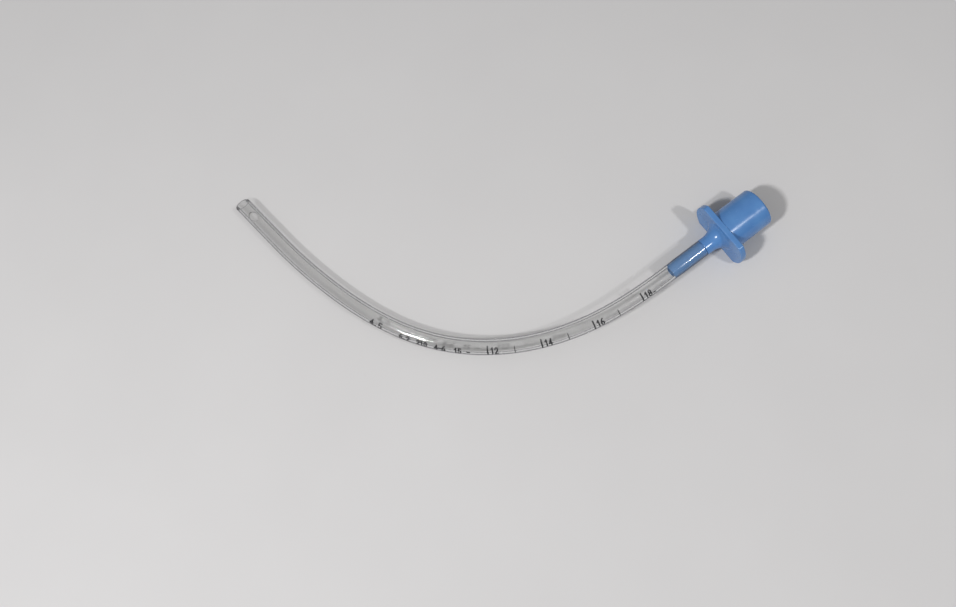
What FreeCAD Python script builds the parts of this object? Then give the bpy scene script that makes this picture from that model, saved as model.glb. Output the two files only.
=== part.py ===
"""Uncuffed endotracheal tube, 4.5 mm bore, with its 15 mm connector, lying on a flat surface.

Millimetres. The connector's axis is along X, with the cone's free end towards +X, and the tube bends
towards +Y. Z is up. The origin is the middle of the flange's lower flat, on the surface it lies on.
"""

import FreeCAD, Part
import math
import os

from FreeCAD import Vector

# Tube
tube_bore = 4.5
tube_wall = 0.85
tube_length = 212.0
bevel_deg = 44.0
bevel_turn_deg = 85.0
bevel_edge_round = 0.3
eye_length = 4.6
eye_width = 3.4
eye_from_toe = 9.5
eye_edge_round = 0.25

# Route of the tube's axis: straight at both ends, and between them equal runs with these turns
patient_straight = 26.0
turns_deg = (3.4, 6.2, 8.3, 8.8, 8.9, 9.7, 9.7, 8.4, 6.6, 4.6, 3.7, 4.1)
tangent_share = 0.45
points_to_touchdown = 7

# Nozzle, which the tube is pushed over
nozzle_diameter = 4.9
nozzle_bore = 3.7
nozzle_length = 15.2
nozzle_taper_length = 3.5
nozzle_lip = 0.2
straight_past_nozzle = 1.2

# Shoulder between the nozzle and the flange
shoulder_length = 7.5
shoulder_straight = 2.6
shoulder_root_diameter = 12.0

# Finger flange, a disc with two flats
flange_diameter = 25.4
flange_thickness = 2.2
flange_across_flats = 16.0
flange_corner_round = 1.2
flange_edge_round = 0.35

# 15 mm male cone, tapering 1 in 40 on the diameter
cone_gauge_diameter = 15.47
cone_gauge_from_end = 10.0
cone_taper = 1.0 / 40.0
cone_length = 16.5
cone_end_round = 0.8
socket_mouth_diameter = 12.7
socket_mouth_round = 0.3
socket_draft = 1.0 / 60.0
socket_floor_past_flange = 1.2
funnel_length = 6.6

# Worked out from the sizes above
bore_r = tube_bore / 2
tube_r = bore_r + tube_wall
nozzle_r = nozzle_diameter / 2
nozzle_tip_r = bore_r
seat_r = math.sqrt(nozzle_r**2 + tube_r**2 - bore_r**2)
axis_height = flange_across_flats / 2
flange_tube_face = -flange_thickness / 2
flange_cone_face = flange_thickness / 2
tube_end_x = flange_tube_face - shoulder_length
nozzle_tip_x = tube_end_x - nozzle_length
taper_start_x = nozzle_tip_x + nozzle_taper_length
cone_end_x = flange_cone_face + cone_length
cone_end_r = (cone_gauge_diameter - cone_gauge_from_end * cone_taper) / 2
cone_root_r = cone_end_r + cone_length * cone_taper / 2
cut_past = tube_r
same_place = 1e-4
AXIS_X = Vector(1, 0, 0)
UP = Vector(0, 0, 1)


def on_axis(x, radius=0.0):
    """A point of a profile that is turned about the connector's axis."""
    return Vector(x, 0, axis_height + radius)


def turned(edges):
    """The solid that a closed profile of edges makes, turned about the connector's axis."""
    face = Part.Face(Part.Wire(edges))
    return face.revolve(on_axis(0), AXIS_X, 360)


def polyline(*points):
    """Straight edges from each point to the next."""
    return [Part.LineSegment(a, b).toShape() for a, b in zip(points, points[1:])]


def arc(start, middle, end):
    """An edge of a circle through three points."""
    return Part.Arc(start, middle, end).toShape()


def flare(start_x, start_r, end_x, end_r):
    """A hollow arc that leaves the start along the axis and rises to the end."""
    reach = end_x - start_x
    rise = end_r - start_r
    radius = (reach**2 + rise**2) / (2 * rise)
    half_turn = math.asin(reach / radius) / 2
    middle = on_axis(start_x + radius * math.sin(half_turn), start_r + radius * (1 - math.cos(half_turn)))
    return arc(on_axis(start_x, start_r), middle, on_axis(end_x, end_r))


def quarter(start, corner, end):
    """A rounded corner between two points that lie the same distance from the corner."""
    centre = start + end - corner
    middle = centre + (corner - centre).normalize() * (start - centre).Length
    return arc(start, middle, end)


def shaft():
    """Nozzle, flared shoulder and cone, before they are bored."""
    root_r = shoulder_root_diameter / 2
    flare_x = tube_end_x + shoulder_straight
    lip_taper = nozzle_lip * (nozzle_r - nozzle_tip_r) / nozzle_taper_length
    edges = polyline(
        on_axis(nozzle_tip_x),
        on_axis(nozzle_tip_x, nozzle_tip_r - nozzle_lip),
        on_axis(nozzle_tip_x + nozzle_lip, nozzle_tip_r + lip_taper),
        on_axis(taper_start_x, nozzle_r),
        on_axis(tube_end_x, nozzle_r),
        on_axis(tube_end_x, seat_r),
        on_axis(flare_x, seat_r),
    )
    edges.append(flare(flare_x, seat_r, flange_tube_face, root_r))
    end_x = cone_end_x - cone_end_round
    end_r = cone_end_r + cone_end_round * cone_taper / 2
    edges += polyline(
        on_axis(flange_tube_face, root_r),
        on_axis(0, root_r),
        on_axis(0, cone_root_r),
        on_axis(flange_cone_face, cone_root_r),
        on_axis(end_x, end_r),
    )
    round_end = on_axis(cone_end_x, end_r - cone_end_round)
    edges.append(quarter(on_axis(end_x, end_r), on_axis(cone_end_x, end_r), round_end))
    edges += polyline(
        round_end,
        on_axis(cone_end_x),
        on_axis(nozzle_tip_x),
    )
    return turned(edges)


def flange():
    """A disc with two flats, its corners and edges rounded."""
    disc = Part.makeCylinder(flange_diameter / 2, flange_thickness, on_axis(flange_tube_face), AXIS_X)
    slab = Part.makeBox(
        flange_thickness,
        flange_diameter,
        flange_across_flats,
        Vector(flange_tube_face, -flange_diameter / 2, 0),
    )
    plate = disc.common(slab)
    corners = [e for e in plate.Edges if is_line_along_x(e)]
    plate = plate.makeFillet(flange_corner_round, corners)
    rims = [e for e in plate.Edges if lies_in_end_face(e)]
    return plate.makeFillet(flange_edge_round, rims)


def is_line_along_x(edge):
    """Is this one of the flange's corners?"""
    return edge.Curve.TypeId == "Part::GeomLine" and edge.BoundBox.XLength > flange_thickness - same_place


def lies_in_end_face(edge):
    """Is this edge part of the rim of one of the flange's two faces?"""
    return edge.BoundBox.XLength < same_place


def socket_and_bore():
    """The space inside the connector: socket, funnel and nozzle bore."""
    mouth_r = socket_mouth_diameter / 2
    floor_x = flange_cone_face + socket_floor_past_flange
    floor_r = mouth_r - (cone_end_x - floor_x) * socket_draft / 2
    bore_x = floor_x - funnel_length
    flare_r = mouth_r + socket_mouth_round
    edges = polyline(
        on_axis(nozzle_tip_x - cut_past),
        on_axis(nozzle_tip_x - cut_past, nozzle_bore / 2),
        on_axis(bore_x, nozzle_bore / 2),
        on_axis(floor_x, floor_r),
        on_axis(cone_end_x - socket_mouth_round, mouth_r),
        on_axis(cone_end_x, flare_r),
        on_axis(cone_end_x + cut_past, flare_r),
        on_axis(cone_end_x + cut_past),
        on_axis(nozzle_tip_x - cut_past),
    )
    return turned(edges)


def connector():
    """The moulded connector as one solid."""
    return shaft().fuse(flange()).cut(socket_and_bore()).removeSplitter()


def route():
    """Points of the tube's axis, from its machine end to its patient end.

    Seen from above, each point turns the axis towards +Y by its own angle. The axis comes down from the
    connector's height to the tube's radius along an S curve, and from there it lies on the surface.
    """
    machine_straight = nozzle_length + straight_past_nozzle
    run = (tube_length - machine_straight - patient_straight) / len(turns_deg)
    points = [Vector(tube_end_x, 0, axis_height)]
    heading = math.pi
    step = machine_straight + run / 2
    for index, turn in enumerate(turns_deg):
        share = min(index / points_to_touchdown, 1.0)
        eased = share * share * (3 - 2 * share)
        last = points[-1]
        height = axis_height + (tube_r - axis_height) * eased
        points.append(Vector(last.x + step * math.cos(heading), last.y + step * math.sin(heading), height))
        heading -= math.radians(turn)
        step = run
    ahead = Vector(math.cos(heading), math.sin(heading), 0)
    so_far = sum(edge.Length for edge in path_edges(points + [points[-1] + ahead * run]))
    points.append(points[-1] + ahead * (run + tube_length - so_far))
    return points


def path_edges(points):
    """Straight runs between the points, joined by tangent arcs."""
    edges = []
    start = points[0]
    for before, corner, after in zip(points, points[1:], points[2:]):
        back = before - corner
        on = after - corner
        tangent = tangent_share * min(back.Length, on.Length)
        half_turn = (math.pi - back.getAngle(on)) / 2
        radius = tangent / math.tan(half_turn)
        back.normalize()
        on.normalize()
        centre = corner + (back + on).normalize() * (radius / math.cos(half_turn))
        middle = centre + (corner - centre).normalize() * radius
        edges.append(Part.LineSegment(start, corner + back * tangent).toShape())
        edges.append(arc(corner + back * tangent, middle, corner + on * tangent))
        start = corner + on * tangent
    edges.append(Part.LineSegment(start, points[-1]).toShape())
    return edges


def ring(centre, direction):
    """The tube's section, a flat ring."""
    outer = Part.Wire(Part.Circle(centre, direction, tube_r).toShape())
    inner = Part.Wire(Part.Circle(centre, direction, bore_r).toShape())
    return Part.makeFace([outer, inner], "Part::FaceMakerBullseye")


def swept(edge):
    """The piece of tube along one straight run or arc."""
    start = edge.valueAt(edge.FirstParameter)
    direction = edge.tangentAt(edge.FirstParameter)
    if edge.Curve.TypeId == "Part::GeomCircle":
        turn = math.degrees(edge.LastParameter - edge.FirstParameter)
        return ring(start, direction).revolve(edge.Curve.Center, edge.Curve.Axis, turn)
    return ring(start, direction).extrude(direction * edge.Length)


def seat():
    """The tube's end, stretched over the nozzle, with the same cross-section area."""
    edges = polyline(
        on_axis(tube_end_x, nozzle_r),
        on_axis(tube_end_x, seat_r),
        on_axis(taper_start_x, seat_r),
        on_axis(nozzle_tip_x, tube_r),
        on_axis(nozzle_tip_x, bore_r),
        on_axis(taper_start_x, nozzle_r),
        on_axis(tube_end_x, nozzle_r),
    )
    return turned(edges)


def open_way(direction):
    """The way the bevel looks, square to the tube: between the bend's inside and straight up."""
    inside = direction.cross(UP).normalize()
    turn = math.radians(bevel_turn_deg)
    return inside * math.cos(turn) + UP * math.sin(turn)


def bevel_waste(tube_tip, direction):
    """The block that the bevel cuts away. Its face runs from the toe back to the heel."""
    facing = open_way(direction)
    angle = math.radians(bevel_deg)
    toe = tube_tip - facing * tube_r
    towards_heel = facing * math.sin(angle) - direction * math.cos(angle)
    outwards = facing * math.cos(angle) + direction * math.sin(angle)
    across = outwards.cross(towards_heel)
    reach = 8 * tube_r
    corner = toe - towards_heel * tube_r - across * reach / 2
    outline = polyline(
        corner,
        corner + towards_heel * reach,
        corner + towards_heel * reach + across * reach,
        corner + across * reach,
        corner,
    )
    return Part.Face(Part.Wire(outline)).extrude(outwards * reach)


def eye_plug(tube_tip, direction):
    """The oval plug that the Murphy eye takes out of the wall opposite the bevel."""
    facing = open_way(direction)
    centre = tube_tip - direction * eye_from_toe
    long_end = centre + direction * eye_length / 2
    wide_end = centre + direction.cross(facing) * eye_width / 2
    oval = Part.Ellipse(long_end, wide_end, centre).toShape()
    return Part.Face(Part.Wire(oval)).extrude(facing * -2 * tube_r)


def patient_end(body, tube_tip, direction):
    """The tube with its bevel and eye cut, and their edges rounded so that they don't scrape."""
    bevelled = body.cut(bevel_waste(tube_tip, direction))
    rims = [edge for edge in bevelled.Edges if edge.Curve.TypeId == "Part::GeomEllipse"]
    bevelled = bevelled.makeFillet(bevel_edge_round, rims)
    plug = eye_plug(tube_tip, direction)
    pierced = bevelled.cut(plug)
    rims = [edge for edge in pierced.Edges if goes_round(edge, plug)]
    return pierced.makeFillet(eye_edge_round, rims)


def goes_round(edge, plug):
    """Does this edge lie on the side of the plug, all the way round?"""
    side = max(plug.Faces, key=lambda face: face.Area)
    middle = edge.valueAt((edge.FirstParameter + edge.LastParameter) / 2)
    on_side = side.distToShape(Part.Vertex(middle))[0] < same_place
    return on_side and edge.isClosed()


def tube():
    """The tube as one solid: seat, runs and arcs, bevel and eye."""
    points = route()
    edges = path_edges(points)
    straight_end = edges[0].valueAt(edges[0].LastParameter)
    edges[0] = Part.LineSegment(on_axis(nozzle_tip_x), straight_end).toShape()
    body = seat().multiFuse([swept(edge) for edge in edges])
    direction = (points[-1] - points[-2]).normalize()
    return patient_end(body, points[-1], direction)


def main():
    os.makedirs("parts", exist_ok=True)
    for name, shape in (("tube", tube()), ("connector", connector())):
        print(name, "valid", shape.isValid(), "solids", len(shape.Solids), "faces", len(shape.Faces),
              "volume", round(shape.Volume, 2))
        shape.exportStep(f"parts/{name}.step")


main()
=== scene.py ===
# %% [markdown]
# # An uncuffed endotracheal tube, dressed for its picture
#
# A clear PVC tube with a bevelled tip is pushed onto the nozzle of a blue moulded connector. The CAD
# model has the exact solids. This lesson adds what solids lack: clear plastic that bends light, ink,
# satin blue moulding, a floor, light and a camera. All lengths below are millimetres until they go into
# a mesh.

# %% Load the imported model
import bmesh
import bpy
import math

import numpy as np
from mathutils import Matrix, Vector


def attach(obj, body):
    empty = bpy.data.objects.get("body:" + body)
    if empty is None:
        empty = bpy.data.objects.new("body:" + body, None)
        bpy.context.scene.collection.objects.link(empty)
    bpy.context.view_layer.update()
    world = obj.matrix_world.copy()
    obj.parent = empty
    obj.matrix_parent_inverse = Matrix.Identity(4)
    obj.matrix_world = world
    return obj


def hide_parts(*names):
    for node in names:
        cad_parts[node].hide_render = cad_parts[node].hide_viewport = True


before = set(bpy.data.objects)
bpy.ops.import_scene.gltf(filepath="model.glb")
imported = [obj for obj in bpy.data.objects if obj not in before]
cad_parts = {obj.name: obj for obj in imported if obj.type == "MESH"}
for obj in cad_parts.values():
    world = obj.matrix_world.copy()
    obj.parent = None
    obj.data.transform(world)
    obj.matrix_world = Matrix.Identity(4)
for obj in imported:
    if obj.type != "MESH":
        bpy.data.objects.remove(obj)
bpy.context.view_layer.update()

MM = 0.001

# %% [markdown]
# ## The camera
#
# The photograph looks down on the tube from about 37 cm, 15 degrees off straight above, mostly from the
# bottom of the picture. A camera's matrix has its own right, up and backwards directions as columns, so
# three measured directions place it exactly, and the focal length in pixels gives the lens.

# %% Camera
picture_width = 956
focal_pixels = 1003.0
sensor_width = 36.0
camera_place = (-110.3, -61.0, 370.7)
camera_look = (0.0612, 0.2539, -0.9653)
camera_up = (0.5963, 0.7663, 0.2394)


def place_camera():
    """A camera whose columns are right = look x up, up made square to look, and minus look."""
    look = Vector(camera_look).normalized()
    right = look.cross(Vector(camera_up)).normalized()
    up = right.cross(look)
    turn = Matrix((right, up, -look)).transposed()
    lens = bpy.data.cameras.new("camera")
    lens.sensor_width = sensor_width
    lens.lens = sensor_width * focal_pixels / picture_width
    lens.clip_start = 0.01
    camera = bpy.data.objects.new("camera", lens)
    camera.matrix_world = Matrix.Translation(Vector(camera_place) * MM) @ turn.to_4x4()
    bpy.context.scene.collection.objects.link(camera)
    bpy.context.scene.camera = camera
    print("camera lens", round(lens.lens, 2), "mm")


place_camera()

# %% [markdown]
# ## Meshes from arrays
#
# Each surface below is a table of points, with rows one way and columns the other. Quads join each
# point to its neighbours. Several tables go into one mesh, and points that fall on each other at their
# borders are merged, so that the surface is closed. A bent piece is worked out straight and then
# carried along its route. It keeps its straight places as an attribute, which its material reads, so
# that streaks and grain follow the bend.

# %% Grids into meshes
merge_distance = 0.0004


def grid_quads(rows, columns, closed):
    """The four corners of each cell of a rows x columns table; closed joins the last column to the first."""
    index = np.arange(rows * columns).reshape(rows, columns)
    if closed:
        index = np.concatenate([index, index[:, :1]], axis=1)
    return np.stack([index[:-1, :-1], index[:-1, 1:], index[1:, 1:], index[1:, :-1]], axis=-1).reshape(-1, 4)


def mesh_from(name, tables, carry=None, body="root"):
    """One object from tables of points, each (points, closed) with points of shape rows x columns x 3.

    The carry function takes straight points to their bent places. A body of None is for the stage.
    """
    straight = np.concatenate([table.reshape(-1, 3) for table, _ in tables])
    points = (carry(straight) if carry else straight) * MM
    starts = np.cumsum([0] + [table.shape[0] * table.shape[1] for table, _ in tables])
    quads = np.concatenate([grid_quads(*table.shape[:2], closed) + start
                            for (table, closed), start in zip(tables, starts)])
    mesh = bpy.data.meshes.new(name)
    mesh.vertices.add(len(points))
    mesh.vertices.foreach_set("co", points.ravel())
    mesh.attributes.new("straight", "FLOAT_VECTOR", "POINT").data.foreach_set("vector", straight.ravel())
    mesh.loops.add(quads.size)
    mesh.loops.foreach_set("vertex_index", quads.ravel().astype(np.int32))
    mesh.polygons.add(len(quads))
    mesh.polygons.foreach_set("loop_start", np.arange(0, quads.size, 4, dtype=np.int32))
    mesh.update(calc_edges=True)
    weld(mesh)
    piece = bpy.data.objects.new(name, mesh)
    bpy.context.scene.collection.objects.link(piece)
    if body:
        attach(piece, body)
    print(name, len(mesh.vertices), "points", len(mesh.polygons), "faces")
    return piece


def weld(mesh):
    """Merges points that lie on each other, points the faces outwards and shades them smooth."""
    work = bmesh.new()
    work.from_mesh(mesh)
    bmesh.ops.remove_doubles(work, verts=work.verts, dist=merge_distance * MM)
    bmesh.ops.recalc_face_normals(work, faces=work.faces)
    for face in work.faces:
        face.smooth = True
    open_edges = sum(edge.is_boundary for edge in work.edges)
    print("open edges", open_edges)
    work.to_mesh(mesh)
    work.free()


# %% [markdown]
# ## The tube's route
#
# The real tube is extruded straight and then heat set in a curve. The CAD model lays its axis out as
# straight runs joined by arcs. The same values are repeated here, and a short moving average over the
# line takes out the small steps in curvature, which clear plastic would show as kinks in its highlights.

# %% Route of the axis
tube_bore_r = 2.25
tube_r = 3.1
tube_length = 212.0
tube_end_x = -8.6
axis_height = 8.0
nozzle_length = 15.2
straight_past_nozzle = 1.2
patient_straight = 26.0
turns = np.radians([3.4, 6.2, 8.3, 8.8, 8.9, 9.7, 9.7, 8.4, 6.6, 4.6, 3.7, 4.1])
tangent_share = 0.45
points_to_touchdown = 7
UP = np.array([0.0, 0.0, 1.0])


def unit(vectors):
    """Each vector divided by its length."""
    return vectors / np.linalg.norm(vectors, axis=-1, keepdims=True)


def corners():
    """The route's corner points: steps along a heading that turns at each corner, with an eased descent."""
    machine_straight = nozzle_length + straight_past_nozzle
    run = (tube_length - machine_straight - patient_straight) / len(turns)
    steps = np.full(len(turns), run)
    steps[0] = machine_straight + run / 2
    heading = math.pi - np.concatenate([[0.0], np.cumsum(turns)])
    plan = np.cumsum(steps[:, None] * np.stack([np.cos(heading[:-1]), np.sin(heading[:-1])], axis=1), axis=0)
    share = np.minimum(np.arange(len(turns)) / points_to_touchdown, 1.0)
    height = axis_height + (tube_r - axis_height) * share**2 * (3 - 2 * share)
    start = np.array([tube_end_x, 0.0, axis_height])
    middle = np.column_stack([plan[:, 0] + tube_end_x, plan[:, 1], height])
    ahead = np.array([math.cos(heading[-1]), math.sin(heading[-1]), 0.0])
    route = np.vstack([start, middle, middle[-1] + ahead * run])
    missing = tube_length - line_of(route)[1]
    route[-1] += ahead * missing
    return route


def line_of(route, steps=24):
    """Straight runs between the corners with a tangent arc at each; gives its points and its length.

    An arc's point is the weighted sum of its two end directions from the centre, by the sines of the
    angles still to go and already gone.
    """
    legs = np.diff(route, axis=0)
    lengths = np.linalg.norm(legs, axis=1)
    back, on = -unit(legs[:-1]), unit(legs[1:])
    tangent = tangent_share * np.minimum(lengths[:-1], lengths[1:])
    turn = math.pi - np.arccos(np.clip(np.sum(back * on, axis=1), -1, 1))
    radius = tangent / np.tan(turn / 2)
    centre = route[1:-1] + unit(back + on) * (radius / np.cos(turn / 2))[:, None]
    first = route[1:-1] + back * tangent[:, None] - centre
    last = route[1:-1] + on * tangent[:, None] - centre
    gone = np.linspace(0, 1, steps)[None, :, None] * turn[:, None, None]
    arcs = (np.sin(turn[:, None, None] - gone) * first[:, None] + np.sin(gone) * last[:, None])
    arcs = centre[:, None] + arcs / np.sin(turn)[:, None, None]
    line = np.vstack([route[0], arcs.reshape(-1, 3), route[-1]])
    length = lengths.sum() - np.sum(2 * tangent - radius * turn)
    return line, length


table_step = 0.25
average_reach = 6.0


def smooth_line():
    """The route's line at even steps, each coordinate averaged over a few millimetres by a raised cosine."""
    line, length = line_of(corners())
    along = np.concatenate([[0], np.cumsum(np.linalg.norm(np.diff(line, axis=0), axis=1))])
    pad = int(average_reach / table_step)
    at = np.arange(-pad, round(tube_length / table_step) + pad + 1) * table_step
    inner = np.clip(at, 0, along[-1])
    even = np.column_stack([np.interp(inner, along, line[:, axis]) for axis in range(3)])
    even += np.outer(np.minimum(at, 0), unit(line[1] - line[0]))
    even += np.outer(np.maximum(at - along[-1], 0), unit(line[-1] - line[-2]))
    weight = np.hanning(2 * pad + 3)[1:-1]
    weight /= weight.sum()
    smooth = np.column_stack([np.convolve(even[:, axis], weight, mode="valid") for axis in range(3)])
    print("route", round(length, 3), "mm long, tip at", np.round(smooth[-1], 2))
    return smooth


axis_line = smooth_line()
axis_ahead = unit(np.gradient(axis_line, axis=0))
axis_inside = unit(np.cross(axis_ahead, UP))
axis_lift = np.cross(axis_inside, axis_ahead)


def on_tube(along, angle, radius):
    """Points of the straight tube: distance along it, radius x cos angle, radius x sin angle.

    After bending, angle 0 is the inside of the bend and 90 degrees is the top.
    """
    along, angle, radius = np.broadcast_arrays(along, angle, radius)
    return np.stack([along, radius * np.cos(angle), radius * np.sin(angle)], axis=-1)


def bent(straight):
    """Straight points carried onto the route: place on the axis + second number x inside + third x lift.

    The axis's place and its two square directions are read from the line's table. Past its ends it
    goes straight on.
    """
    steps = np.arange(len(axis_line)) * table_step
    along = straight[:, 0]
    inner = np.clip(along, 0, steps[-1])

    def read(table):
        return np.stack([np.interp(inner, steps, table[:, axis]) for axis in range(3)], axis=-1)

    place = read(axis_line) + (along - inner)[:, None] * read(axis_ahead)
    return place + straight[:, 1:2] * read(axis_inside) + straight[:, 2:3] * read(axis_lift)


# %% [markdown]
# ## The tube's wall, tip and eye
#
# The tip is cut at a slant and a second opening, the Murphy eye, is punched in the wall opposite, so
# that air still passes if the slant lies against the windpipe. Both have rounded edges. The wall is
# one closed surface: an outer and an inner sheet that run round the tube and along it, a rounded lip
# that joins them at the slant, and a rounded lip through the eye. Round the eye the mesh is a fan of
# lines from the oval out to a four-sided patch, so that no face is cut.

# %% Slanted tip
columns_round = 96
bevel_angle = math.radians(44.0)
toe_angle = math.radians(265.0)
bevel_round = 0.3
join_back = 18.0
from_toe = np.linspace(-math.pi, math.pi, columns_round, endpoint=False)


def slant(angle, radius):
    """How far behind the toe the cut meets a wall: (tube radius - radius x cos) / tan of the slant."""
    return (tube_r - radius * np.cos(angle)) / math.tan(bevel_angle)


def lip_reach(angle, sign):
    """How far a rounded edge reaches along the wall and along the cut, and its arc's weight.

    All three come from the angle between the wall and the cut.
    """
    between = np.arccos(sign * np.cos(angle) * math.cos(bevel_angle))
    reach = bevel_round / np.tan(between / 2)
    along_wall = reach * np.sqrt(1 + (np.sin(angle) / math.tan(bevel_angle))**2)
    along_cut = reach / np.sqrt(1 + (np.cos(angle) / math.tan(bevel_angle))**2)
    return along_wall, along_cut, np.sin(between / 2)[:, None]


def tip_point(angle, radius, back):
    """A point of the tip, by its angle from the toe, its radius and its distance behind the toe."""
    return on_tube(tube_length - back, toe_angle + angle, radius)


def bend(first, corner, last, weight=math.sqrt(0.5), steps=6):
    """Rows of an arc that rounds a sharp edge, as a weighted mean of the corner and the arc's two ends.

    The ends weigh (1-t)^2 and t^2 and the corner 2t(1-t) x the sine of half the edge's angle, which
    makes the curve a true arc. The weight for a square edge is the root of a half.
    """
    t = np.linspace(0, 1, steps)[:, None, None]
    pull = 2 * t * (1 - t) * weight
    return ((1 - t)**2 * first + pull * corner + t**2 * last) / ((1 - t)**2 + pull + t**2)


def tip_lip():
    """The rounded lip of the slanted cut, from the outer wall over the flat of the cut to the inner wall."""
    rows = []
    for radius, sign in ((tube_r, 1), (tube_bore_r, -1)):
        along_wall, along_cut, weight = lip_reach(from_toe, sign)
        on_cut = radius - sign * along_cut
        edge = bend(
            tip_point(from_toe, radius, slant(from_toe, radius) + along_wall),
            tip_point(from_toe, radius, slant(from_toe, radius)),
            tip_point(from_toe, on_cut, slant(from_toe, on_cut)),
            weight,
        )
        rows.append(edge if sign > 0 else edge[::-1])
    return np.concatenate(rows)


# %% Murphy eye
eye_back = 9.5
eye_half_length = 2.3
eye_half_width = 1.7
eye_round = 0.25
eye_columns = 18
sheet_rows = 34
eye_rows = (8, 24)
fan_crowding = 1.3


def sheet_back(radius, sign):
    """Distances of the tip sheet's rows behind the toe: evenly from the join to the lip at each angle."""
    start = slant(from_toe, radius) + lip_reach(from_toe, sign)[0]
    share = np.linspace(0, 1, sheet_rows)[:, None]
    return join_back + (start - join_back) * share


def fan(radius, sign, steps=8):
    """Lines of the sheet from the eye's rounded edge out to the border of its four-sided patch."""
    back = sheet_back(radius, sign)
    middle = columns_round // 2
    low, high = middle - eye_columns, middle + eye_columns
    top, bottom = eye_rows
    columns = np.concatenate([np.arange(low, high), np.full(bottom - top, high),
                              np.arange(high, low, -1), np.full(bottom - top, low)])
    rows = np.concatenate([np.full(high - low, top), np.arange(top, bottom),
                           np.full(high - low, bottom), np.arange(bottom, top, -1)])
    border_angle, border_back = from_toe[columns], back[rows, columns]
    round_eye = np.arctan2(radius * np.sin(border_angle) / (eye_half_width + eye_round),
                           (border_back - eye_back) / (eye_half_length + eye_round))
    wall = oval(round_eye, eye_round)
    edge_angle = np.arcsin(wall[1] / radius)
    share = (np.linspace(0, 1, steps)**fan_crowding)[:, None]
    angle = edge_angle + (border_angle - edge_angle) * share
    distance = wall[0] + (border_back - wall[0]) * share
    return tip_point(angle, radius, distance), round_eye


def oval(around, grow):
    """The eye's oval, grown by a margin: distance behind the toe, and distance to the side."""
    return (eye_back + (eye_half_length + grow) * np.cos(around), (eye_half_width + grow) * np.sin(around))


def eye_wall(around, wall_radius, sign):
    """The eye's edge on one wall: the sharp edge rounded from the sheet to the straight side of the hole."""
    outer_back, outer_side = oval(around, eye_round)
    back, side = oval(around, 0.0)
    height = np.sqrt(wall_radius**2 - side**2)
    sunk = height - sign * eye_round
    return bend(
        tip_point(np.arcsin(outer_side / wall_radius), wall_radius, outer_back),
        tip_point(np.arctan2(side, height), np.hypot(side, height), back),
        tip_point(np.arctan2(side, sunk), np.hypot(side, sunk), back),
        steps=5,
    )


def sheet_tables(radius, sign):
    """The sheet near the tip without the eye's patch, as four tables, and the fan that fills the patch."""
    points = tip_point(from_toe, radius, sheet_back(radius, sign))
    middle = columns_round // 2
    low, high = middle - eye_columns, middle + eye_columns
    top, bottom = eye_rows
    wrapped = np.concatenate([points[:, high:], points[:, :low + 1]], axis=1)
    lines, around = fan(radius, sign)
    return [(wrapped, False), (points[:top + 1, low:high + 1], False),
            (points[bottom:, low:high + 1], False), (lines, True)], around


# %% Tube piece
body_rings = 195
first_ring = 0.4
nozzle_taper = 3.5
nozzle_r = 2.45
seat_r = math.sqrt(nozzle_r**2 + tube_r**2 - tube_bore_r**2)
wetted = 0.03
past_nozzle = 0.4
end_round = 0.12
end_gap = 0.02


def body_radii(along):
    """Outer and inner radius along the tube: stretched over the nozzle, then tapering to its own size.

    Over the nozzle the inner wall lies a hair inside the blue plastic, so that no gap of air shows.
    """
    share = np.clip((along - nozzle_length) / nozzle_taper + 1, 0, 1)
    past = np.clip((along - nozzle_length) / past_nozzle, 0, 1)
    outer = seat_r + (tube_r - seat_r) * share
    inner = nozzle_r + (tube_bore_r - nozzle_r) * share - wetted * (1 - past)
    return outer, inner


def tube_tables():
    """All the tables of the tube's one closed surface."""
    around = toe_angle + from_toe
    along = np.unique(np.concatenate([
        [end_gap + end_round, first_ring],
        np.linspace(1, tube_length - join_back, body_rings),
        [nozzle_length - nozzle_taper, nozzle_length, nozzle_length + past_nozzle],
    ]))
    outer, inner = body_radii(along)
    tables = [(on_tube(along[:, None], around, outer[:, None]), True),
              (on_tube(along[:, None], around, inner[:, None]), True),
              (tip_lip(), True)]
    outer_end, inner_end = outer[0], inner[0]
    rim = bend(on_tube(end_gap + end_round, around, outer_end), on_tube(end_gap, around, outer_end),
               on_tube(end_gap, around, outer_end - end_round))
    face = np.stack([on_tube(end_gap, around, outer_end - end_round), on_tube(end_gap, around, inner_end),
                     on_tube(end_gap + end_round, around, inner_end)])
    tables += [(rim, True), (face, True)]
    outer_tables, outer_around = sheet_tables(tube_r, 1)
    inner_tables, inner_around = sheet_tables(tube_bore_r, -1)
    outer_edge = eye_wall(outer_around, tube_r, 1)
    inner_edge = eye_wall(inner_around, tube_bore_r, -1)
    side = np.stack([outer_edge[-1], inner_edge[-1]])
    return tables + outer_tables + inner_tables + [(outer_edge, True), (inner_edge, True), (side, True)]


tube = mesh_from("clear_tube", tube_tables(), carry=bent)
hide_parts("tube")

# %% [markdown]
# ## The moulded connector
#
# The connector is one turned form with a flange that has two flats. A turned form is a profile carried
# round an axis, so each row of the table is one point of the profile, and each column is an angle. The
# flange isn't round: there the radius also depends on the angle. The profile's corners are rounded, as
# a mould leaves them, with a support row just past each arc, so that smooth shading stays in the arc.
# The cone's radius grows by 1 in cone_run towards the flange and the socket's shrinks by 1 in socket_run.

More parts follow.
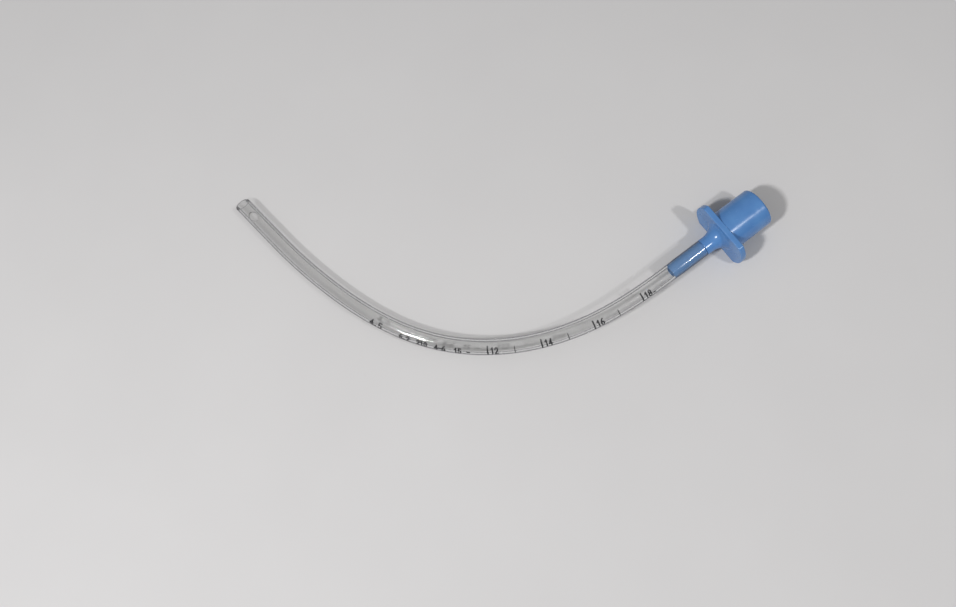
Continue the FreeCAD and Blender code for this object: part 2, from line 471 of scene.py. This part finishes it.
# %% Profile of the connector
nozzle_bore_r = 1.85
nozzle_lip = 0.2
shoulder_straight = 2.6
shoulder_root_r = 6.0
flange_r = 12.7
flange_half = 1.1
flange_flat = 8.0
flange_corner = 1.2
flange_edge = 0.35
cone_length = 16.5
cone_end_x = flange_half + cone_length
cone_end_r = 7.61
cone_run = 80.0
cone_root_r = cone_end_r + cone_length / cone_run
cone_end_round = 0.8
socket_mouth_r = 6.35
socket_mouth_round = 0.3
socket_floor_x = flange_half + 1.2
socket_run = 120.0
socket_floor_r = socket_mouth_r - (cone_end_x - socket_floor_x) / socket_run
funnel_length = 6.6
bore_x = socket_floor_x - funnel_length
support = 0.06


def flare(start, end, steps=14):
    """A hollow arc that leaves its start along the axis: its centre is straight out from there."""
    reach, rise = end[0] - start[0], end[1] - start[1]
    radius = (reach**2 + rise**2) / (2 * rise)
    angle = np.linspace(0, math.asin(reach / radius), steps)
    return np.column_stack([start[0] + radius * np.sin(angle), start[1] + radius * (1 - np.cos(angle))])


def rounded(corner_list, steps=7):
    """A closed profile with its corners rounded.

    Each corner is (x, radius, rounding). Its two legs are cut at rounding x tan(half the turn), an arc
    joins the cuts, and a support point lies just past each cut. A rounding of 0 keeps the point.
    """
    values = np.array(corner_list)
    places, roundings = values[:, :2], values[:, 2]
    back = unit(np.roll(places, 1, axis=0) - places)
    on = unit(np.roll(places, -1, axis=0) - places)
    rows = []
    for place, before, after, rounding in zip(places, back, on, roundings):
        if rounding == 0:
            rows.append(place[None])
            continue
        half_turn = (math.pi - math.acos(np.clip(before @ after, -1, 1))) / 2
        cut = rounding * math.tan(half_turn)
        centre = place + unit(before + after) * rounding / math.cos(half_turn)
        first, last = place + before * cut - centre, place + after * cut - centre
        gone = np.linspace(0, 2 * half_turn, steps)[:, None]
        arc = centre + (np.sin(2 * half_turn - gone) * first + np.sin(gone) * last) / math.sin(2 * half_turn)
        rows += [(place + before * (cut + support))[None], arc, (place + after * (cut + support))[None]]
    return np.concatenate(rows)


def connector_profile():
    """The connector's closed profile, from the nozzle's bore out over the flange and back by the socket."""
    tip_x = tube_end_x - nozzle_length
    face_x = -flange_half
    flare_x = tube_end_x + shoulder_straight
    curve = flare((flare_x, seat_r), (face_x, shoulder_root_r))
    lip_r = tube_bore_r + nozzle_lip * (nozzle_r - tube_bore_r) / nozzle_taper
    return rounded([
        (tip_x, nozzle_bore_r, 0.06),
        (tip_x, tube_bore_r - nozzle_lip, 0.05),
        (tip_x + nozzle_lip, lip_r, 0.1),
        (tip_x + nozzle_taper, nozzle_r, 0.5),
        (tube_end_x, nozzle_r, 0.05),
        (tube_end_x, seat_r, 0.12),
        *[(x, r, 0) for x, r in curve[:-1]],
        (face_x, shoulder_root_r, 0.3),
        (face_x, flange_r, flange_edge),
        (flange_half, flange_r, flange_edge),
        (flange_half, cone_root_r, 0.1),
        (cone_end_x, cone_end_r, cone_end_round),
        (cone_end_x, socket_mouth_r + socket_mouth_round, 0.06),
        (cone_end_x - socket_mouth_round, socket_mouth_r, 0.2),
        (socket_floor_x, socket_floor_r, 0.5),
        (bore_x, nozzle_bore_r, 1.0),
    ])


def flange_outline():
    """Angles and radii of the flange's edge, round the axis from +Y: a disc with a flat above and below.

    A corner's arc touches the disc from inside and the flat, so its centre lies at the disc's radius
    less its own from the axis, and its own radius below the flat.
    """
    centre_z = flange_flat - flange_corner
    centre_y = math.sqrt((flange_r - flange_corner)**2 - centre_z**2)
    meets = math.atan2(centre_z, centre_y)
    disc = np.linspace(0, meets, 26)
    turn = np.linspace(meets, math.pi / 2, 9)[1:]
    flat = np.linspace(centre_y, 0, 26)[1:]
    y = np.concatenate([flange_r * np.cos(disc), centre_y + flange_corner * np.cos(turn), flat])
    z = np.concatenate([flange_r * np.sin(disc), centre_z + flange_corner * np.sin(turn),
                        np.full(len(flat), flange_flat)])
    quarter_angle, quarter_radius = np.arctan2(z, y), np.hypot(y, z)
    angle = np.concatenate([quarter_angle, math.pi - quarter_angle[-2::-1]])
    radius = np.concatenate([quarter_radius, quarter_radius[-2::-1]])
    return np.concatenate([angle, angle[1:-1] + math.pi]), np.concatenate([radius, radius[1:-1]])


def connector_table():
    """The connector's rows: profile points, with the flange's rows drawn in to its outline.

    A rim row lies as far inside the outline as its profile point lies inside the disc. A face row
    keeps its share of the way from the root to the rim. No row goes below the cone's root.
    """
    profile = connector_profile()
    angle, edge = flange_outline()
    x, r = profile[:, :1], profile[:, 1:]
    rim_start = flange_r - flange_edge
    root = np.where(x < 0, shoulder_root_r, cone_root_r)
    share = np.clip((r - root) / (rim_start - root), 0, 1)
    face = root + np.maximum(edge - flange_edge - root, 0) * share
    rim = np.maximum(edge - (flange_r - r), root)
    in_flange = (np.abs(x) <= flange_half + 1e-6) & (r > root)
    radius = np.where(in_flange, np.where(r > rim_start, rim, face), r)
    return np.stack([np.broadcast_to(x, radius.shape), radius * np.cos(angle),
                     axis_height + radius * np.sin(angle)], axis=-1)


connector_rows = connector_table()
connector = mesh_from("blue_connector", [(np.concatenate([connector_rows, connector_rows[:1]]), True)])
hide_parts("connector")

# %% [markdown]
# ## Ink on the tube
#
# Depth marks stand every centimetre, with numbers at every second one, and a line of size numbers
# follows them. On the real tube they are printed on the side that is read while it is in use. Each
# stroke here is a flat strip that is worked out on the unrolled wall and then carried round and along
# the tube, so it lies on the curve without being projected.

# %% Strokes of the numbers
ink_rise = 0.02
ink_sink = 0.02
dot_weight = 1.5


def straight_stroke(x0, y0, x1, y1):
    """Points evenly from one end to the other, as shares of a figure's width and height."""
    share = np.linspace(0, 1, 14)[:, None]
    return np.array([x0, y0]) * (1 - share) + np.array([x1, y1]) * share


def curved_stroke(x, y, half_width, half_height, start, end):
    """Points of an oval about (x, y) between two angles in degrees, counted from the right."""
    angle = np.radians(np.linspace(start, end, 30))
    return np.column_stack([x + half_width * np.cos(angle), y + half_height * np.sin(angle)])


digit_strokes = {
    "0": [curved_stroke(0.42, 0.50, 0.33, 0.48, 0, 360)],
    "1": [straight_stroke(0.18, 0.80, 0.46, 0.98), straight_stroke(0.46, 0.98, 0.46, 0.0)],
    "2": [curved_stroke(0.42, 0.70, 0.32, 0.28, 165, -30), straight_stroke(0.70, 0.56, 0.10, 0.02),
          straight_stroke(0.10, 0.02, 0.78, 0.02)],
    "4": [straight_stroke(0.58, 0.98, 0.06, 0.30), straight_stroke(0.06, 0.30, 0.82, 0.30),
          straight_stroke(0.58, 0.98, 0.58, 0.0)],
    "5": [straight_stroke(0.74, 0.98, 0.20, 0.98), straight_stroke(0.20, 0.98, 0.14, 0.54),
          curved_stroke(0.40, 0.31, 0.34, 0.30, 135, -145)],
    "6": [curved_stroke(0.42, 0.29, 0.32, 0.28, 0, 360), curved_stroke(0.74, 0.32, 0.64, 0.66, 100, 180)],
    "8": [curved_stroke(0.42, 0.74, 0.27, 0.23, 0, 360), curved_stroke(0.42, 0.26, 0.33, 0.26, 0, 360)],
    ".": [straight_stroke(0.24, 0.12, 0.32, 0.12)],
    "-": [straight_stroke(0.12, 0.45, 0.72, 0.45)],
}


def ink_strip(line, along, angle, thick, size):
    """One stroke as a closed strip: a line of points, widened to both sides and raised off the wall.

    The stroke's x runs back towards the connector and its y runs up, against the angle round the tube.
    Ends are carried on by half the width, so that strokes that meet close their corner.
    """
    wide, tall = size
    flat = np.column_stack([along - line[:, 0] * wide, tube_r * angle - (line[:, 1] - 0.5) * tall])
    ahead = unit(np.gradient(flat, axis=0))
    flat = np.concatenate([flat[:1] - ahead[:1] * thick / 2, flat[1:-1], flat[-1:] + ahead[-1:] * thick / 2])
    side = np.column_stack([-ahead[:, 1], ahead[:, 0]]) * thick / 2
    edges = np.stack([flat - side, flat - side, flat + side, flat + side], axis=1)
    radius = tube_r + np.array([-ink_sink, ink_rise, ink_rise, -ink_sink])
    table = on_tube(edges[..., 0], edges[..., 1] / tube_r, np.broadcast_to(radius, edges.shape[:2]))
    ends = table.mean(axis=1, keepdims=True)
    closed = [np.broadcast_to(ends[:1], table[:1].shape), table, np.broadcast_to(ends[-1:], table[-1:].shape)]
    return np.concatenate(closed), True


def written(text, along, angle, thick, size):
    """The strips of a row of figures, each one figure's width further on. A dot is a heavier stroke."""
    return [ink_strip(stroke, along - place * size[0], angle,
                      thick * (dot_weight if letter == "." else 1), size)
            for place, letter in enumerate(text)
            for stroke in digit_strokes[letter]]


def mark(along, start, end, thick):
    """A depth mark: a stroke round the tube between two angles in degrees from the inside of the bend."""
    height = math.radians(end - start) * tube_r
    upright = straight_stroke(0, 0, 0, 1)
    return ink_strip(upright, along, math.radians(start + end) / 2, thick, (1.0, height))


# %% Depth marks and size line
number_angle = math.radians(134)
bore_angle = math.radians(139)
small_angle = math.radians(145)
number_size = (1.5, 2.7)
bore_size = (1.8, 2.4)
small_size = (1.45, 2.2)
number_gap = 1.1
long_mark = (100, 167)
short_mark = (112, 165)
mark_thick = 0.55
number_thick = 0.50
small_thick = 0.52
dash_thick = 0.38
short_thick = 0.30
dash_along = 25.2
bore_along = 136.0
depth_marks = []
for along, depth in ((89.5, "12"), (69.5, "14"), (49.5, "16"), (29.5, "18")):
    depth_marks.append(mark(along, *long_mark, mark_thick))
    depth_marks += written(depth, along - number_gap, number_angle, number_thick, number_size)
depth_marks += [mark(along, *short_mark, short_thick) for along in (79.5, 59.5, 39.5)]
depth_marks += written("-", dash_along, small_angle, dash_thick, number_size)
size_line = written("4.5", bore_along, bore_angle, number_thick, bore_size)
for words, along in (("6.2", 123.5), ("210", 116.5), ("4-6", 109.5), ("15", 102.0), ("-", 97.3)):
    size_line += written(words, along, small_angle, small_thick, small_size)
ink = mesh_from("printed_marks", depth_marks + size_line, carry=bent)
ink.data.shade_flat()
print("strokes", len(depth_marks) + len(size_line))

# %% [markdown]
# ## Unevenness that the finishes share
#
# No moulded or extruded surface is the same all over. Colour, gloss and height all vary a little, each
# at its own size. One shader group does this for every finish: it gives the noise at a place, and the
# same noise taken to a range of values. Each material places the group with its own numbers.

# %% Unevenness group
noise_low = 0.3
noise_high = 0.7


def unevenness_group():
    """A group that gives Noise, and Value = Low + (High - Low) x (Noise - From) / (To - From), clamped."""
    group = bpy.data.node_groups.new("unevenness", "ShaderNodeTree")
    group.interface.new_socket("Place", in_out="INPUT", socket_type="NodeSocketVector")
    for name in ("Scale", "Detail", "From", "To", "Low", "High"):
        group.interface.new_socket(name, in_out="INPUT", socket_type="NodeSocketFloat")
    for name in ("Noise", "Value"):
        group.interface.new_socket(name, in_out="OUTPUT", socket_type="NodeSocketFloat")
    given, result = group.nodes.new("NodeGroupInput"), group.nodes.new("NodeGroupOutput")
    texture, reach = group.nodes.new("ShaderNodeTexNoise"), group.nodes.new("ShaderNodeMapRange")
    for name, socket in (("Place", texture.inputs["Vector"]), ("Scale", texture.inputs["Scale"]),
                         ("Detail", texture.inputs["Detail"]), ("From", reach.inputs["From Min"]),
                         ("To", reach.inputs["From Max"]), ("Low", reach.inputs["To Min"]),
                         ("High", reach.inputs["To Max"])):
        group.links.new(given.outputs[name], socket)
    group.links.new(texture.outputs["Fac"], reach.inputs["Value"])
    group.links.new(texture.outputs["Fac"], result.inputs["Noise"])
    group.links.new(reach.outputs["Result"], result.inputs["Value"])
    return group


unevenness = unevenness_group()


def uneven(nodes, links, place, scale, detail=2.0, low=0.0, high=1.0, start=noise_low, end=noise_high):
    """The unevenness group at a place, with noise from start..end taken to low..high; gives its outputs."""
    node = nodes.new("ShaderNodeGroup")
    node.node_tree = unevenness
    for name, value in (("Scale", scale), ("Detail", detail), ("From", start), ("To", end),
                        ("Low", low), ("High", high)):
        node.inputs[name].default_value = value
    links.new(place, node.inputs["Place"])
    return node.outputs


# %% [markdown]
# ## Clear PVC
#
# Soft PVC is clear with a faint grey cast. Light bends in its wall, which draws the dark outlines and
# the pale lines along the tube. A dark grey tint is painted where the wall is met edge on, to make the
# outlines stronger: a little of it is the longer path through the plastic, most of it is painted shade.
# Extrusion leaves faint streaks along the tube and handling leaves a slight haze, so both go into the
# roughness and a very low bump, on the tube's straight places. Rays on their way to a lamp can't bend
# in a path tracer, and would leave the tube's shadow black. For those rays, and for light that comes
# back from the floor, the wall is tinted and open instead, denser where it is met edge on, so that the
# shadow is pale with dark borders, as a clear tube's is.

# %% Clear PVC material
pvc_ior = 1.53
streaks_per_mm = 2.2
streak_stretch = 0.012
streak_height = 0.0015


def new_material(name):
    """A new material with a Principled BSDF; gives the material, its nodes, its links and the shader."""
    material = bpy.data.materials.new(name)
    material.use_nodes = True
    nodes, links = material.node_tree.nodes, material.node_tree.links
    return material, nodes, links, nodes["Principled BSDF"]


def ranged(nodes, links, source, low, high, start=0.0, end=1.0):
    """A Map Range node that takes a source from start..end to low..high."""
    node = nodes.new("ShaderNodeMapRange")
    for name, value in (("From Min", start), ("From Max", end), ("To Min", low), ("To Max", high)):
        node.inputs[name].default_value = value
    links.new(source, node.inputs["Value"])
    return node.outputs["Result"]


def blended(nodes, links, factor, first, last):
    """A colour that runs from the first to the last with a factor; either may be another node's output."""
    node = nodes.new("ShaderNodeMix")
    node.data_type = "RGBA"
    colours = [socket for socket in node.inputs if socket.type == "RGBA"]
    for socket, colour in zip(colours, (first, last)):
        if isinstance(colour, tuple):
            socket.default_value = (*colour, 1)
        else:
            links.new(colour, socket)
    links.new(factor, node.inputs[0])
    return next(socket for socket in node.outputs if socket.type == "RGBA")


def bumped(nodes, links, height, distance):
    """The normal of a Bump node over a height, with its distance in millimetres."""
    node = nodes.new("ShaderNodeBump")
    node.inputs["Distance"].default_value = distance * MM
    node.inputs["Strength"].default_value = 1.0
    links.new(height, node.inputs["Height"])
    return node.outputs["Normal"]


def clear_pvc():
    """Glass with a haze along extrusion streaks, painted shade as dark outlines where met edge on, and an
    open tinted wall for light rays.
    """
    material, nodes, links, shader = new_material("clear_pvc")
    shader.inputs["Transmission Weight"].default_value = 1.0
    shader.inputs["IOR"].default_value = pvc_ior
    place = nodes.new("ShaderNodeAttribute")
    place.attribute_name = "straight"
    stretch = nodes.new("ShaderNodeVectorMath")
    stretch.operation = "MULTIPLY"
    stretch.inputs[1].default_value = (streak_stretch, 1, 1)
    links.new(place.outputs["Vector"], stretch.inputs[0])
    streaks = uneven(nodes, links, stretch.outputs["Vector"], streaks_per_mm, low=0.02, high=0.05)
    facing = nodes.new("ShaderNodeLayerWeight")
    facing.inputs["Blend"].default_value = 0.5
    # Painted shade: the base colour turns dark grey where the wall is met edge on, which draws the dark
    # outlines.
    edge_on_painted_shade = ranged(nodes, links, facing.outputs["Facing"], 0.0, 1.0, 0.34, 0.56)
    tint = blended(nodes, links, edge_on_painted_shade, (0.97, 0.972, 0.97), (0.12, 0.125, 0.14))
    links.new(tint, shader.inputs["Base Color"])
    links.new(streaks["Value"], shader.inputs["Roughness"])
    links.new(bumped(nodes, links, streaks["Noise"], streak_height), shader.inputs["Normal"])
    open_wall = nodes.new("ShaderNodeBsdfTransparent")
    links.new(ranged(nodes, links, facing.outputs["Facing"], 0.94, 0.42, 0.2, 1.0), open_wall.inputs["Color"])
    path = nodes.new("ShaderNodeLightPath")
    lit_through = nodes.new("ShaderNodeMath")
    lit_through.operation = "MAXIMUM"
    links.new(path.outputs["Is Shadow Ray"], lit_through.inputs[0])
    links.new(path.outputs["Is Diffuse Ray"], lit_through.inputs[1])
    either = nodes.new("ShaderNodeMixShader")
    links.new(lit_through.outputs["Value"], either.inputs["Fac"])
    links.new(shader.outputs["BSDF"], either.inputs[1])
    links.new(open_wall.outputs["BSDF"], either.inputs[2])
    links.new(either.outputs["Shader"], nodes["Material Output"].inputs["Surface"])
    return material


tube.data.materials.append(clear_pvc())

# %% [markdown]
# ## Blue moulding and ink
#
# The connector is moulded in a mid-blue plastic with a satin gloss. A real moulding isn't one flat
# colour: the pigment swirls a little, the gloss varies in soft patches, the surface is faintly uneven,
# and the two halves of the mould leave a fine line along both sides. Where the tube is pushed over the
# nozzle, the blue is painted milder within a few millimetres, a painted haze that stands in for the
# tube's wall seen over it. The ink is matt black and a little uneven, as pad printing is.

# %% Blue moulding and ink materials
swirls_per_m = 140.0
patches_per_m = 420.0
grain_per_m = 3500.0
parting_line = 0.07
line_height = 0.03
grain_share = 0.12
# Painted haze: the distance over which the blue turns milder past the tube's end.
painted_haze_fades = 2.0
ink_patches_per_mm = 3.0


def blue_moulding():
    """Pigment swirls, a milder colour painted under the tube as haze of its wall, patches of gloss, fine
    grain and the mould's line.
    """
    material, nodes, links, shader = new_material("blue_moulding")
    place = nodes.new("ShaderNodeTexCoord").outputs["Object"]
    swirls = uneven(nodes, links, place, swirls_per_m, 3.0)
    patches = uneven(nodes, links, place, patches_per_m, low=0.16, high=0.28)
    grain = uneven(nodes, links, place, grain_per_m)
    split = nodes.new("ShaderNodeSeparateXYZ")
    links.new(place, split.inputs["Vector"])
    # Painted haze: the blue turns milder and greyer where the tube covers the nozzle, standing in for its
    # wall seen over it.
    under_tube_painted_haze = ranged(nodes, links, split.outputs["X"], 0.0, 1.0,
                     tube_end_x * MM, (tube_end_x - painted_haze_fades) * MM)
    pigment = blended(nodes, links, swirls["Value"], (0.075, 0.205, 0.480), (0.100, 0.255, 0.545))
    links.new(blended(nodes, links, under_tube_painted_haze, pigment, (0.115, 0.235, 0.45)), shader.inputs["Base Color"])
    links.new(patches["Value"], shader.inputs["Roughness"])
    from_plane = nodes.new("ShaderNodeMath")
    from_plane.operation = "SUBTRACT"
    from_plane.inputs[1].default_value = axis_height * MM
    links.new(split.outputs["Z"], from_plane.inputs[0])
    distance = nodes.new("ShaderNodeMath")
    distance.operation = "ABSOLUTE"
    links.new(from_plane.outputs["Value"], distance.inputs[0])
    line = ranged(nodes, links, distance.outputs["Value"], 1.0, 0.0, 0.0, parting_line * MM)
    height = nodes.new("ShaderNodeMath")
    height.operation = "MULTIPLY_ADD"
    height.inputs[1].default_value = grain_share
    links.new(grain["Noise"], height.inputs[0])
    links.new(line, height.inputs[2])
    links.new(bumped(nodes, links, height.outputs["Value"], line_height), shader.inputs["Normal"])
    return material


def black_ink():
    """Near black, patchy in colour and gloss."""
    material, nodes, links, shader = new_material("black_ink")
    place = nodes.new("ShaderNodeAttribute")
    place.attribute_name = "straight"
    patches = uneven(nodes, links, place.outputs["Vector"], ink_patches_per_mm, 3.0,
                     low=0.35, high=0.6, start=0.0, end=1.0)
    links.new(blended(nodes, links, patches["Noise"], (0.008, 0.008, 0.010), (0.030, 0.030, 0.034)),
              shader.inputs["Base Color"])
    links.new(patches["Value"], shader.inputs["Roughness"])
    return material


connector.data.materials.append(blue_moulding())
ink.data.materials.append(black_ink())

# %% [markdown]
# ## Floor and light
#
# A pale floor carries the shadow. One small lamp stands to the left of the picture, as in the
# photograph, a weaker one stands to the right and draws the thin highlight on the cone, and the sky
# fills the rest. The sky is paler above than at the horizon: clear plastic needs something darker at
# its sides, or its outlines vanish.

# %% Floor and lamps
floor_reach = 3000.0
floor_drop = 0.02
mottle_per_m = 18.0
lamp_target = (-60, 30, 0)


def pale_floor():
    """One large quad just below the part, with a very faint mottle."""
    side = np.array([-floor_reach, floor_reach])
    x, y = np.meshgrid(side, side)
    quad = np.stack([x, y, np.full_like(x, -floor_drop)], axis=-1)
    floor = mesh_from("floor", [(quad, False)], body=None)
    material, nodes, links, shader = new_material("pale_floor")
    mottle = uneven(nodes, links, nodes.new("ShaderNodeTexCoord").outputs["Object"], mottle_per_m, 3.0)
    colour = blended(nodes, links, mottle["Noise"], (0.60, 0.59, 0.59), (0.64, 0.63, 0.63))
    links.new(colour, shader.inputs["Base Color"])
    shader.inputs["Roughness"].default_value = 0.8
    floor.data.materials.append(material)


def lamp(name, towards, distance, size, power):
    """A square soft lamp in a direction from the middle of the part, in millimetres, turned to face it."""
    direction = Vector(towards).normalized()
    light = bpy.data.lights.new(name, "AREA")
    light.size = size * MM
    light.energy = power
    holder = bpy.data.objects.new(name, light)
    holder.location = (Vector(lamp_target) + direction * distance) * MM
    holder.rotation_euler = direction.to_track_quat("Z", "Y").to_euler()
    bpy.context.scene.collection.objects.link(holder)


def sky(horizon, above):
    """A world whose strength runs from the horizon to straight above with the direction's height."""
    world = bpy.data.worlds.new("sky")
    bpy.context.scene.world = world
    world.use_nodes = True
    nodes, links = world.node_tree.nodes, world.node_tree.links
    split = nodes.new("ShaderNodeSeparateXYZ")
    links.new(nodes.new("ShaderNodeTexCoord").outputs["Generated"], split.inputs["Vector"])
    nodes["Background"].inputs["Color"].default_value = (1, 1, 1, 1)
    links.new(ranged(nodes, links, split.outputs["Z"], horizon, above, 0.05, 0.8),
              nodes["Background"].inputs["Strength"])


pale_floor()
lamp("key", towards=(-0.591, -0.046, 0.803), distance=800, size=70, power=3.7)
lamp("side", towards=(0.31, -0.54, 0.78), distance=800, size=45, power=1.5)
sky(horizon=0.12, above=0.36)

# %% Finish
bpy.context.scene.view_settings.view_transform = "Standard"
